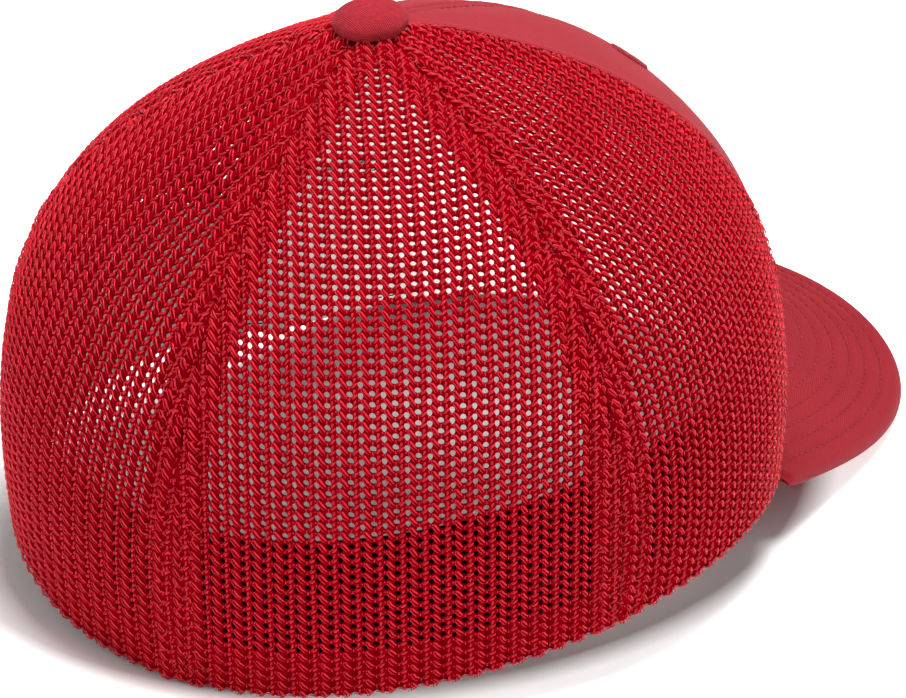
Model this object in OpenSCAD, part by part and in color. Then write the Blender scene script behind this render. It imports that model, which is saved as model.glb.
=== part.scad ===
// Six-panel trucker mesh cap with a closed, stretch-fit back.
// Millimetres, +Z up. The visor points along -Y and the wearer's right is -X.
// The origin is the centre of the head opening, on the plane that the cap rests on.

/* [Crown] */
// Half of the crown's width at the rim
half_width = 90; // [84:0.5:96]
// Distance from the origin forward to the rim
front_reach = 91; // [86:0.5:98]
// Distance from the origin back to the rim
rear_reach = 91; // [86:0.5:98]
// Height of the fabric peak under the button
crown_height = 129; // [118:0.5:138]
// How far the peak sits behind the origin
peak_back = 8; // [0:0.5:12]
// Fullness of the sides: a higher number makes a squarer shoulder
side_fullness = 3.6; // [2.8:0.1:4.6]
// Fullness of the front
front_fullness = 5.6; // [4:0.1:6.5]
// Fullness of the back
rear_fullness = 3.25; // [2.6:0.05:4.2]
// Share by which the rim is drawn in below the widest line
rim_tuck = 0.02; // [0:0.005:0.04]
// Height over which the rim is drawn in
tuck_height = 36; // [25:1:45]
// How far the rim arches up over the ears
side_arch = 10.5; // [6:0.5:14]
// How far the rim climbs from the back to the front
front_lift = 10.5; // [6:0.5:12]

/* [Panels] */
// Seam between front and side panel at the rim, in degrees from the front
front_seam_low = 54; // [50:1:58]
// The same seam at the peak
front_seam_high = 49; // [46:1:54]
// Seam between side and rear panel, in degrees from the front
rear_seam = 114.5; // [110:0.5:120]
// Twill thickness
twill = 0.7; // [0.5:0.05:0.9]
// Thickness of the white stiffener behind the front
buckram = 1.0; // [0.6:0.05:1.2]
// Thickness of the knitted mesh
mesh = 1.4; // [1.1:0.05:1.6]
// Thickness of the mesh where the hem is folded
hem = 2.4; // [2:0.05:2.5]
// Height of the folded hem
hem_height = 12; // [9:0.5:15]

/* [Seam tapes and sweatband] */
// Width of a seam tape
tape_width = 12; // [9:0.5:14]
// Thickness of a seam tape
tape = 0.7; // [0.4:0.05:0.8]
// Height of the sweatband
band_height = 37; // [30:1:40]
// Thickness of the sweatband
band = 1.7; // [1.2:0.1:2]

/* [Visor] */
// Where the visor's corners meet the rim, in degrees from the front
visor_corner = 63.5; // [60:0.5:66]
// Half of the visor's width
visor_half_width = 81.5; // [80.5:0.5:86]
// How far the visor projects beyond the crown
visor_projection = 72; // [62:1:78]
// Height that the visor loses from its middle to its sides
visor_arch = 22.5; // [18:0.5:28]
// Height that the visor loses per millimetre forward
visor_slope = 0.22; // [0.2:0.01:0.25]
// Thickness of the visor's plastic board
visor_board_thickness = 1.8; // [1.4:0.1:2.2]

/* [Button and eyelets] */
// Radius of the covered button
button_r = 8.4; // [7.5:0.1:9]
// Height of the button's dome above the fabric peak
button_dome = 2.8; // [2:0.1:3.5]
// Radius of the rivet's post
rivet_r = 1.5; // [1.2:0.1:1.6]
// Outer radius of an embroidered eyelet
eyelet_r = 5.2; // [4.5:0.1:6]
// Radius of an eyelet's hole
eyelet_hole_r = 2; // [1.5:0.1:2.2]

/* [Labels] */
// Width of the size label
size_label_w = 22; // [16:1:24]
// Length of the size label
size_label_l = 15; // [12:1:18]
// Width of the care label
care_label_w = 25; // [20:1:27]
// Length of the care label
care_label_l = 26; // [20:1:28]
// Thickness of a label
label = 0.6; // [0.4:0.1:0.8]

/* [Hidden] */

$fn = 48;
seam_gap = 0.12;              // degrees between two panels, on each side of the seam line
visor_seat = 0.35;            // clearance between the visor and the rim above it
panel_top = 0.99;             // share of the crown's height where the panels end, around the rivet
panel_columns = 12;
panel_rows = 12;
buckram_gap = 0.1;
buckram_depth = twill + buckram_gap;  // depth below the outer surface where the stiffener starts
tape_depth = hem + 0.3;
tape_top = 0.955;             // share of the crown's height where a seam tape ends
tape_foot = 3;                // height above the rim where a seam tape starts
band_depth = tape_depth + tape + 0.3;
visor_tongue = tape_depth + 0.4;   // how far the visor's inner edge runs under the crown
visor_side_power = 2.46;      // roundness of the visor's outline, across and forward
visor_front_power = 2.92;
visor_fabric = 0.6;
visor_gap = 0.05;             // clearance between the board and its two covers
visor_columns = 28;
visor_rows = 5;
board_inset = 1.2;            // how far the board stays inside the covers' edge
peak = [0, peak_back, crown_height];
button_lean = 6.5;            // degrees that the button leans back, square to the peak
label_gap = 0.5;              // clearance between a label's edges and the sweatband
care_label_angle = 150;       // degrees from the front, on the wearer's left
label_top = 29;               // height above the rim of a label's sewn edge
eyelet_angle = 26;            // degrees from the front
eyelet_share = 0.74;          // share of the crown's height

twill_red = [0.78, 0.29, 0.33];
visor_red = [0.72, 0.19, 0.24];
mesh_red = [0.66, 0.12, 0.18];
tape_red = [0.5, 0.06, 0.1];

function mix(a, b, t) = a + (b - a) * t;
function unit(v) = v / norm(v);

// Height of the visor's upper surface
function visor_height(x, y) =
    visor_centre_height - visor_arch * pow(abs(x) / visor_half_width, 2) + visor_slope * (y + front_reach);

// Height of the rim behind the visor's corners
function side_rim(angle) = side_arch * pow(sin(angle), 2) + front_lift * (1 + cos(angle)) / 2;

corner_x = half_width * sin(visor_corner);
corner_y = -front_reach * cos(visor_corner);
visor_centre_height = side_rim(visor_corner) + visor_arch * pow(corner_x / visor_half_width, 2)
    - visor_slope * (corner_y + front_reach);

function over_visor(angle) = abs(angle) < visor_corner + 2;

// Height of the rim all round: it follows the visor in front
function rim(angle) = over_visor(angle)
    ? visor_height(half_width * sin(angle), -front_reach * cos(angle)) + visor_seat
    : side_rim(angle) + visor_seat * (side_rim(angle) / side_rim(visor_corner));

// Share of the rim's radius that is left at a share of the height
function fullness(share, power) = 1 - pow(share, power);
function tuck(share) = 1 - rim_tuck * pow(max(0, 1 - share * crown_height / tuck_height), 2);

// A point of the crown's outer surface; the angle runs from the front towards +X
function crown(angle, share) = [
    half_width * fullness(share, side_fullness) * tuck(share) * sin(angle),
    (cos(angle) > 0
        ? -front_reach * fullness(share, front_fullness)
        : -rear_reach * fullness(share, rear_fullness) * tuck(share)) * cos(angle) + peak_back * share * share,
    mix(rim(angle), crown_height, share)];

function crown_normal(angle, share) = unit(cross(
    crown(angle + 0.5, share) - crown(angle - 0.5, share),
    crown(angle, share + 0.004) - crown(angle, max(0, share - 0.004))));

// A point below the outer surface
function crown_in(angle, share, depth) = crown(angle, share) - depth * crown_normal(angle, share);

// The same for a panel, whose lowest row sits just over the visor at every depth
function panel_point(angle, share, depth) = let (p = crown_in(angle, share, depth))
    share == 0 && over_visor(angle) ? [p[0], p[1], visor_height(p[0], p[1]) + visor_seat] : p;

// Share of the height at a height above the rim
function share_at(angle, height) = height / (crown_height - rim(angle));

function front_seam(share) = mix(front_seam_low, front_seam_high, share);

// Heights of a panel's grid rows: close together at the shoulder and the peak
function row_share(t) = sin(t * asin(panel_top));

// Faces of a closed sheet: two grids of points, outer first, joined round their edges
function grid_faces(columns, rows, offset, flip) = [
    for (i = [0:rows - 1], j = [0:columns - 1], k = [0, 1])
        let (a = offset + i * (columns + 1) + j, b = a + 1, c = a + columns + 1, d = c + 1,
            tri = k == 0 ? [a, c, b] : [b, c, d])
            flip ? [tri[0], tri[2], tri[1]] : tri];

function edge_loop(columns, rows) = concat(
    [for (j = [0:columns]) j],
    [for (i = [1:rows]) i * (columns + 1) + columns],
    [for (j = [columns - 1:-1:0]) rows * (columns + 1) + j],
    [for (i = [rows - 1:-1:1]) i * (columns + 1)]);

function side_faces(loop, offset) = [
    for (n = [0:len(loop) - 1], k = [0, 1])
        let (a = loop[n], b = loop[(n + 1) % len(loop)])
            k == 0 ? [a, b, a + offset] : [b, b + offset, a + offset]];

module sheet(outer, inner, columns, rows) {
    count = (columns + 1) * (rows + 1);
    polyhedron(
        points = concat(outer, inner),
        faces = concat(
            grid_faces(columns, rows, 0, false),
            grid_faces(columns, rows, count, true),
            side_faces(edge_loop(columns, rows), count)));
}

// A crown panel from one seam to the next. The hem makes its lowest rows thicker.
module crown_panel(low, high, outer_depth, inner_depth, hem_depth) {
    hem_share = share_at(90, hem_height);
    hem_step = 0.008;
    shares = concat([0, hem_share, hem_share + hem_step],
        [for (i = [2:panel_rows]) row_share(i / panel_rows)]);
    rows = len(shares) - 1;
    function depth(share) = share <= hem_share ? hem_depth : inner_depth;
    function grid(layer) = [
        for (i = [0:rows], j = [0:panel_columns])
            let (share = shares[i], a = mix(low[0], low[1], share), b = mix(high[0], high[1], share))
                panel_point(mix(a + seam_gap, b - seam_gap, j / panel_columns), share,
                    layer == 0 ? outer_depth : depth(share))];
    sheet(grid(0), grid(1), panel_columns, rows);
}

front_edge = [front_seam_low, front_seam_high];
rear_edge = [rear_seam, rear_seam];

module front_panel_left() {
    color(twill_red) difference() {
        crown_panel([0, 0], front_edge, 0, twill, twill);
        eyelet_bore(1);
    }
}

module front_panel_right() {
    color(twill_red) difference() {
        crown_panel(-front_edge, [0, 0], 0, twill, twill);
        eyelet_bore(-1);
    }
}

module front_buckram_left() {
    color("white") difference() {
        crown_panel([0, 0], front_edge, buckram_depth, buckram_depth + buckram, buckram_depth + buckram);
        eyelet_bore(1);
    }
}

module front_buckram_right() {
    color("white") difference() {
        crown_panel(-front_edge, [0, 0], buckram_depth, buckram_depth + buckram, buckram_depth + buckram);
        eyelet_bore(-1);
    }
}

module side_mesh_left() {
    color(mesh_red) crown_panel(front_edge, rear_edge, 0, mesh, hem);
}

module side_mesh_right() {
    color(mesh_red) crown_panel(-rear_edge, -front_edge, 0, mesh, hem);
}

module rear_mesh_left() {
    color(mesh_red) crown_panel(rear_edge, [180, 180], 0, mesh, hem);
}

module rear_mesh_right() {
    color(mesh_red) crown_panel([180, 180], [360, 360] - rear_edge, 0, mesh, hem);
}

// A tape of even width that covers a seam on the inside
module seam_tape(low_angle, high_angle) {
    columns = 2;
    rows = 12;
    start = share_at(low_angle, tape_foot);
    function spread(angle, share) =
        tape_width / norm([crown(angle, share)[0], crown(angle, share)[1] - peak_back]) * 180 / PI;
    function grid(depth) = [
        for (i = [0:rows], j = [0:columns])
            let (share = sin(mix(asin(start), asin(tape_top), i / rows)),
                middle = mix(low_angle, high_angle, share))
                crown_in(middle + (j / columns - 0.5) * spread(middle, share), share, depth)];
    color(tape_red) sheet(grid(tape_depth), grid(tape_depth + tape), columns, rows);
}

module front_centre_tape() { seam_tape(0, 0); }
module front_side_tape_right() { seam_tape(-front_seam_low, -front_seam_high); }
module front_side_tape_left() { seam_tape(front_seam_low, front_seam_high); }
module rear_side_tape_right() { seam_tape(-rear_seam, -rear_seam); }
module rear_side_tape_left() { seam_tape(rear_seam, rear_seam); }
module rear_centre_tape() { seam_tape(180, 180); }

// Height of the sweatband's lower edge: under the visor it drops to the visor's underside
function band_foot(angle) = let (near = (visor_corner + 3 - abs(angle)) / 8)
    0.5 - 3.4 * min(1, max(0, near));

// One closed stretch loop inside the rim
module sweatband() {
    steps = 64;
    rows = 3;
    count = steps * (rows + 1);
    function ring(depth) = [
        for (i = [0:rows], n = [0:steps - 1])
            let (angle = -180 + n * 360 / steps, foot = band_foot(angle),
                height = mix(foot, band_height, i / rows))
                crown_in(angle, max(0, share_at(angle, height)), depth)
                    + [0, 0, min(0, height)]];
    function wall(offset, flip) = [
        for (i = [0:rows - 1], n = [0:steps - 1], k = [0, 1])
            let (a = offset + i * steps + n, b = offset + i * steps + (n + 1) % steps,
                c = a + steps, d = b + steps, tri = k == 0 ? [a, c, b] : [b, c, d])
                flip ? [tri[0], tri[2], tri[1]] : tri];
    function lip(start, flip) = [
        for (n = [0:steps - 1], k = [0, 1])
            let (a = start + n, b = start + (n + 1) % steps, c = a + count, d = b + count,
                tri = k == 0 ? [a, b, c] : [b, d, c])
                flip ? [tri[0], tri[2], tri[1]] : tri];
    color([0.08, 0.08, 0.09]) polyhedron(
        points = concat(ring(band_depth), ring(band_depth + band)),
        faces = concat(wall(0, false), wall(count, true), lip(0, false), lip(rows * steps, true)));
}

// The visor's outline, from one corner (side -1) round the front to the other (side 1)
function visor_edge(side, inset) = let (turn = 90 * side)
    [(visor_half_width - inset) * sign(turn) * pow(abs(sin(turn)), 2 / visor_side_power),
     corner_y - (front_reach + visor_projection - inset + corner_y)
        * pow(max(0, cos(turn)), 2 / visor_front_power)];

function visor_root(side) = let (angle = visor_corner * side)
    [(half_width - visor_tongue) * sin(angle), -(front_reach - visor_tongue) * cos(angle)];

// One layer of the visor, a given drop below its upper surface
module visor_layer(drop, thickness, inset) {
    function grid(depth) = [
        for (i = [0:visor_rows], j = [0:visor_columns])
            let (turn = sin(mix(-90, 90, j / visor_columns)),
                place = mix(visor_edge(turn, inset), visor_root(turn), i / visor_rows))
                [place[0], place[1], visor_height(place[0], place[1]) - depth]];
    sheet(grid(drop), grid(drop + thickness), visor_columns, visor_rows);
}

board_drop = visor_fabric + visor_gap;
under_drop = board_drop + visor_board_thickness + visor_gap;

module visor_top_cover() { color(visor_red) visor_layer(0, visor_fabric, 0); }
module visor_board() { color("white") visor_layer(board_drop, visor_board_thickness, board_inset); }
module visor_under_cover() { color(visor_red) visor_layer(under_drop, visor_fabric, 0); }

// Places children on the crown with their Z along the outward normal
module on_crown(angle, share) {
    normal = crown_normal(angle, share);
    translate(crown(angle, share))
        rotate([0, acos(normal[2]), atan2(normal[1], normal[0])])
            children();
}

eyelet_barrel_r = eyelet_hole_r + 0.9;
eyelet_flange = 0.8;
eyelet_lift = 0.15;           // clearance under the outer flange
eyelet_drop = 0.8;            // clearance at the inner flange, where the crown curves towards it

module eyelet_bore(side) {
    on_crown(side * eyelet_angle, eyelet_share)
        cylinder(h = 12, r = eyelet_barrel_r + 0.15, center = true);
}

// A thread ring worked round a punched hole, through twill and stiffener
module eyelet(side) {
    inside = -(buckram_depth + buckram + eyelet_drop);
    on_crown(side * eyelet_angle, eyelet_share) rotate_extrude() polygon([
        [eyelet_hole_r, eyelet_lift + eyelet_flange],
        [eyelet_hole_r, inside - eyelet_flange],
        [eyelet_r - 0.4, inside - eyelet_flange],
        [eyelet_r, inside],
        [eyelet_barrel_r, inside],
        [eyelet_barrel_r, eyelet_lift],
        [eyelet_r, eyelet_lift],
        [eyelet_r - 0.4, eyelet_lift + eyelet_flange]]);
}

module eyelet_right() { color(visor_red) eyelet(-1); }
module eyelet_left() { color(visor_red) eyelet(1); }

// The button leans with the fabric at the peak
module at_peak() { translate(peak) rotate([-button_lean, 0, 0]) children(); }

button_skirt = -2.1;          // height of the cover's lower edge, from the fabric peak
button_widest = -0.9;
cover = 0.6;
shell = 0.4;
washer_r = 7.5;
washer_depth = 4.6;           // depth of the washer's middle below the peak
washer_fall = 2.1;            // how much lower its edge is
washer = 0.6;

// A dome's outline from its lower edge to its top, inset from the button's outside
function dome(inset) = [
    [button_r - inset - 0.3, button_skirt],
    for (t = [0:10:90])
        [(button_r - inset) * pow(max(0, cos(t)), 0.8),
         button_widest + (button_dome - button_widest - inset) * sin(t)]];

function reversed(list) = [for (i = [len(list) - 1:-1:0]) list[i]];

module button_cover() {
    color(visor_red) at_peak() rotate_extrude()
        polygon(concat(dome(0), reversed(dome(cover))));
}

module button_shell() {
    outer = cover + 0.05;
    color("silver") at_peak() rotate_extrude()
        polygon(concat(dome(outer), reversed(dome(outer + shell))));
}

// The rivet's head sits under the shell; its foot is clinched under the washer
module button_rivet() {
    head_top = button_dome - cover - shell - 0.6;
    head_bottom = 0.4;
    head_r = 3;
    foot = -washer_depth - washer - 0.5;
    color("silver") at_peak() {
        translate([0, 0, head_bottom]) cylinder(h = head_top - head_bottom, r = head_r);
        translate([0, 0, foot]) cylinder(h = head_bottom - foot + 0.1, r = rivet_r);
        translate([0, 0, foot - 0.6]) cylinder(h = 0.6, r = rivet_r + 1);
    }
}

// A dished ring that holds the rivet inside the crown
module button_washer() {
    hole = rivet_r + 0.05;
    color("silver") at_peak() rotate_extrude() polygon([
        [hole, -washer_depth], [washer_r, -washer_depth - washer_fall],
        [washer_r, -washer_depth - washer_fall - washer], [hole, -washer_depth - washer]]);
}

// A blank woven label, sewn along its top edge and hanging inside the sweatband
module hanging_label(angle, width, length) {
    high = crown_in(angle, share_at(angle, label_top), band_depth + band);
    low = crown_in(angle, share_at(angle, label_top - length), band_depth + band);
    reach = min(norm([high[0], high[1]]), norm([low[0], low[1]]));
    bow = pow(width / 2, 2) / (2 * half_width);
    rotate([0, 0, atan2(high[1], high[0])])
        translate([reach - bow - label_gap - label, -width / 2, high[2] - length])
            cube([label, width, length]);
}

module size_label() { color("white") hanging_label(180, size_label_w, size_label_l); }
module care_label() { color("white") hanging_label(care_label_angle, care_label_w, care_label_l); }

front_panel_right();
front_panel_left();
front_buckram_right();
front_buckram_left();
side_mesh_right();
side_mesh_left();
rear_mesh_right();
rear_mesh_left();
front_centre_tape();
front_side_tape_right();
front_side_tape_left();
rear_side_tape_right();
rear_side_tape_left();
rear_centre_tape();
sweatband();
visor_top_cover();
visor_board();
visor_under_cover();
eyelet_right();
eyelet_left();
button_cover();
button_shell();
button_rivet();
button_washer();
size_label();
care_label();
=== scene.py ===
"""Looks of the trucker mesh cap: knitted yarns, twill, stitching and trim, built round the CAD frame."""
import math

import bpy
import numpy as np
from mathutils import Matrix, Vector


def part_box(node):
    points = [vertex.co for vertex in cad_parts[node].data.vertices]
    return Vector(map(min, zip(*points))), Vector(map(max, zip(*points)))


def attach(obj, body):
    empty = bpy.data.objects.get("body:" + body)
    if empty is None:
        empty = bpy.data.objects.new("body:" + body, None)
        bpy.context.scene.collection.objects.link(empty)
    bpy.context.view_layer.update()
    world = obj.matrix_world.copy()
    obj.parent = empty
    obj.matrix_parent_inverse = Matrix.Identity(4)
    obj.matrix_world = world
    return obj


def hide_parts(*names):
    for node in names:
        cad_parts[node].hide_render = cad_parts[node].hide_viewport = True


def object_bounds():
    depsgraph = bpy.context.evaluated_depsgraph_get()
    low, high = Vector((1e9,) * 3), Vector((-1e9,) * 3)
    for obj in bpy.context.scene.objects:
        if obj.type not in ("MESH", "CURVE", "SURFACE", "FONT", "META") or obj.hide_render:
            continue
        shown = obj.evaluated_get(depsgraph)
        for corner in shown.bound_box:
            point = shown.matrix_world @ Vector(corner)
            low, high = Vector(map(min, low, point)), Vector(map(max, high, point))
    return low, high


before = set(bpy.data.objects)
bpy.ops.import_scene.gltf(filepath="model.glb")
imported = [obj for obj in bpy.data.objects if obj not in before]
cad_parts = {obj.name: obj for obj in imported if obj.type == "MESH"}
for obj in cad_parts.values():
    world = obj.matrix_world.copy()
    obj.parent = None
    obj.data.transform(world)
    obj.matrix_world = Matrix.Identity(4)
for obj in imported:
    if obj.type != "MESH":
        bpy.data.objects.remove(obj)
cad_low, cad_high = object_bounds()
rng = np.random.default_rng(7)

# ---------------- the crown's shape, as in the CAD (metres)
MM = 0.001
HALF_WIDTH, FRONT_REACH, REAR_REACH = 0.090, 0.091, 0.091
CROWN_HEIGHT, PEAK_BACK = 0.129, 0.008
SIDE_FULLNESS, FRONT_FULLNESS, REAR_FULLNESS = 3.6, 5.6, 3.25
RIM_TUCK, TUCK_HEIGHT = 0.02, 0.036
SIDE_ARCH, FRONT_LIFT = 0.0105, 0.0105
VISOR_CORNER = math.radians(63.5)
VISOR_ARCH, VISOR_SLOPE, VISOR_SEAT = 0.0225, 0.22, 0.00035
VISOR_HALF_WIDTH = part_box("visor_top_cover")[1].x
VISOR_TIP = -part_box("visor_top_cover")[0].y
VISOR_SIDE_POWER, VISOR_FRONT_POWER = 2.46, 2.92
FRONT_SEAM = (math.radians(54), math.radians(49))      # at the rim, and at the peak
REAR_SEAM = 114.5            # degrees from the front; the seam between the two rear panels is at REAR_CENTRE
REAR_CENTRE = 180
BAND_TOP = 0.037             # height of the sweatband's upper edge
BAND_DEPTH = 0.0037          # how far the sweatband lies inside the crown's outer surface
CORNER_X = HALF_WIDTH * math.sin(VISOR_CORNER)
CORNER_Y = -FRONT_REACH * math.cos(VISOR_CORNER)


def side_rim(angle):
    return SIDE_ARCH * np.sin(angle) ** 2 + FRONT_LIFT * (1 + np.cos(angle)) / 2


VISOR_CENTRE = (side_rim(VISOR_CORNER) + VISOR_ARCH * (CORNER_X / VISOR_HALF_WIDTH) ** 2
                - VISOR_SLOPE * (CORNER_Y + FRONT_REACH))


def visor_height(x, y):
    return VISOR_CENTRE - VISOR_ARCH * (x / VISOR_HALF_WIDTH) ** 2 + VISOR_SLOPE * (y + FRONT_REACH)


def wrapped(angle):
    """The same angle between -pi and pi."""
    return (angle + math.pi) % (2 * math.pi) - math.pi


def rim(angle):
    over_visor = np.abs(wrapped(angle)) < VISOR_CORNER
    front = visor_height(HALF_WIDTH * np.sin(angle), -FRONT_REACH * np.cos(angle)) + VISOR_SEAT
    side = side_rim(angle) * (1 + VISOR_SEAT / side_rim(VISOR_CORNER))
    return np.where(over_visor, front, side)


def crown(angle, share):
    """Points of the crown's outer surface; the angle runs from the front towards +X."""
    rise = np.clip(share, 0, 1)
    tuck = 1 - RIM_TUCK * np.clip(1 - rise * CROWN_HEIGHT / TUCK_HEIGHT, 0, 1) ** 2
    side = HALF_WIDTH * (1 - rise ** SIDE_FULLNESS) * tuck
    front = FRONT_REACH * (1 - rise ** FRONT_FULLNESS)
    rear = REAR_REACH * (1 - rise ** REAR_FULLNESS) * tuck
    length = np.where(np.cos(angle) > 0, front, rear)
    height = rim(angle) + (CROWN_HEIGHT - rim(angle)) * share
    return np.stack([side * np.sin(angle), -length * np.cos(angle) + PEAK_BACK * rise ** 2, height], -1)


def unit(vectors):
    return vectors / np.maximum(np.linalg.norm(vectors, axis=-1, keepdims=True), 1e-12)


def crown_normal(angle, share):
    turn, rise = math.radians(0.5), 0.004
    round_it = crown(angle + turn, share) - crown(angle - turn, share)
    upward = crown(angle, share + rise) - crown(angle, np.maximum(share - rise, 0))
    return unit(np.cross(round_it, upward))


def on_crown(angle, share, lift=0.0):
    normal = crown_normal(angle, share)
    return crown(angle, share) + normal * np.asarray(lift)[..., None], normal


def share_at(angle, height):
    return height / (CROWN_HEIGHT - rim(angle))


def crown_radius(angle, share):
    """Distance in mm from the crown's upright axis."""
    here = crown(angle, share)
    return np.hypot(here[..., 0], here[..., 1] - PEAK_BACK * np.asarray(share) ** 2) / MM


def front_seam(share):
    return FRONT_SEAM[0] + (FRONT_SEAM[1] - FRONT_SEAM[0]) * share


def smooth(low, high, value):
    t = np.clip((value - low) / (high - low), 0, 1)
    return t * t * (3 - 2 * t)


def bell(value, centre, width):
    return np.exp(-((value - centre) / width) ** 2)


def turns(count):
    return np.arange(count) * 2 * math.pi / count


def eased(count):
    """Steps from 0 to 1 that are closer together at both ends."""
    return (1 - np.cos(np.linspace(0, math.pi, count))) / 2


def blunt(t):
    """A share of a strand's radius, which closes at both of its ends."""
    return np.sqrt(1 - (2 * t - 1) ** 4)


def distances(points):
    """How far along a path each of its points lies."""
    return np.concatenate([[0], np.cumsum(np.linalg.norm(np.diff(points, axis=0), axis=1))])


# ---------------- meshes
def linked(name, data):
    made = bpy.data.objects.new(name, data)
    bpy.context.scene.collection.objects.link(made)
    return made


def mesh_object(name, points, faces, material, body="root", other=None, other_from=0, **attributes):
    """One mesh piece that rides on a body. attributes are values per point, which its material reads. Faces
    from other_from on have the other material."""
    points = np.asarray(points, np.float32).reshape(-1, 3)
    faces = np.asarray(faces, np.int32)
    used, flat = np.unique(faces, return_inverse=True)
    faces = flat.reshape(faces.shape).astype(np.int32)
    mesh = bpy.data.meshes.new(name)
    mesh.vertices.add(len(used))
    mesh.vertices.foreach_set("co", points[used].ravel())
    mesh.loops.add(faces.size)
    mesh.loops.foreach_set("vertex_index", faces.ravel())
    mesh.polygons.add(len(faces))
    mesh.polygons.foreach_set("loop_start", np.arange(0, faces.size, faces.shape[1], dtype=np.int32))
    mesh.update(calc_edges=True)
    mesh.polygons.foreach_set("use_smooth", np.ones(len(faces), bool))
    mesh.materials.append(material)
    if other:
        mesh.materials.append(other)
        mesh.polygons.foreach_set("material_index", (np.arange(len(faces)) >= other_from).astype(np.int32))
    for key, values in attributes.items():
        attribute = mesh.attributes.new(key, "FLOAT", "POINT")
        attribute.data.foreach_set("value", np.asarray(values, np.float32).ravel()[used])
    mesh.validate()
    made = linked(name, mesh)
    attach(made, body)
    return made


def stands_for(node):
    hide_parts(node)


def cloth(piece, slot, node, width, length, held="stretched", **how):
    """Hides the CAD part that a sheet of cloth stands for. Its flat size in metres, without seam allowances,
    is passed but not used.
    """
    stands_for(node)


def grid_quads(rows, columns, closed=False, start=0):
    """Faces between the points of a grid of rows by columns; closed joins the last column to the first."""
    last = columns if closed else columns - 1
    i, j = np.meshgrid(np.arange(rows - 1), np.arange(last), indexing="ij")
    a = i * columns + j
    b = i * columns + (j + 1) % columns
    return np.stack([a, b, b + columns, a + columns], -1).reshape(-1, 4) + start


def closed_sheet(outer, inner, closed=False):
    """Points and faces of a solid sheet between two grids of points."""
    rows, columns = outer.shape[:2]
    count = rows * columns
    faces = [grid_quads(rows, columns, closed), grid_quads(rows, columns, closed, count)[:, ::-1]]
    top, bottom = np.arange(columns) + (rows - 1) * columns, np.arange(columns)
    edges = [bottom[::-1], top]
    if not closed:
        edges += [np.arange(rows) * columns, (np.arange(rows) * columns + columns - 1)[::-1]]
    for edge in edges:
        after = np.roll(edge, -1)
        pairs = np.stack([edge, after, after + count, edge + count], -1)
        faces.append(pairs if closed else pairs[:-1])
    return np.concatenate([outer.reshape(-1, 3), inner.reshape(-1, 3)]), np.concatenate(faces)


def tubes(centre, outward, width, height, sides, keep=None):
    """Points and faces of many tubes at once. centre is (tubes, rings, 3); a ring that isn't kept closes to a
    point."""
    along = unit(np.gradient(centre, axis=1))
    across = unit(np.cross(outward, along))
    lift = np.cross(along, across)
    keep = np.ones(centre.shape[:2], bool) if keep is None else keep
    turn = turns(sides)
    wide = (np.broadcast_to(width, keep.shape) * keep)[..., None, None]
    high = (np.broadcast_to(height, keep.shape) * keep)[..., None, None]
    ring = (centre[:, :, None] + across[:, :, None] * wide * np.cos(turn)[:, None]
            + lift[:, :, None] * high * np.sin(turn)[:, None])
    count, rings = keep.shape
    i, j, k = np.meshgrid(np.arange(count), np.arange(rings - 1), np.arange(sides), indexing="ij")
    a = (i * rings + j) * sides + k
    b = (i * rings + j) * sides + (k + 1) % sides
    faces = np.stack([a, b, b + sides, a + sides], -1)
    shown = (keep[:, :-1] | keep[:, 1:])[i, j]
    return ring.reshape(-1, 3), faces[shown]


def joined(parts):
    """Points and faces of several (points, faces) pairs put together."""
    points, faces, start = [], [], 0
    for some_points, some_faces in parts:
        points.append(some_points)
        faces.append(some_faces + start)
        start += len(some_points)
    return np.concatenate(points), np.concatenate(faces)


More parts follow.
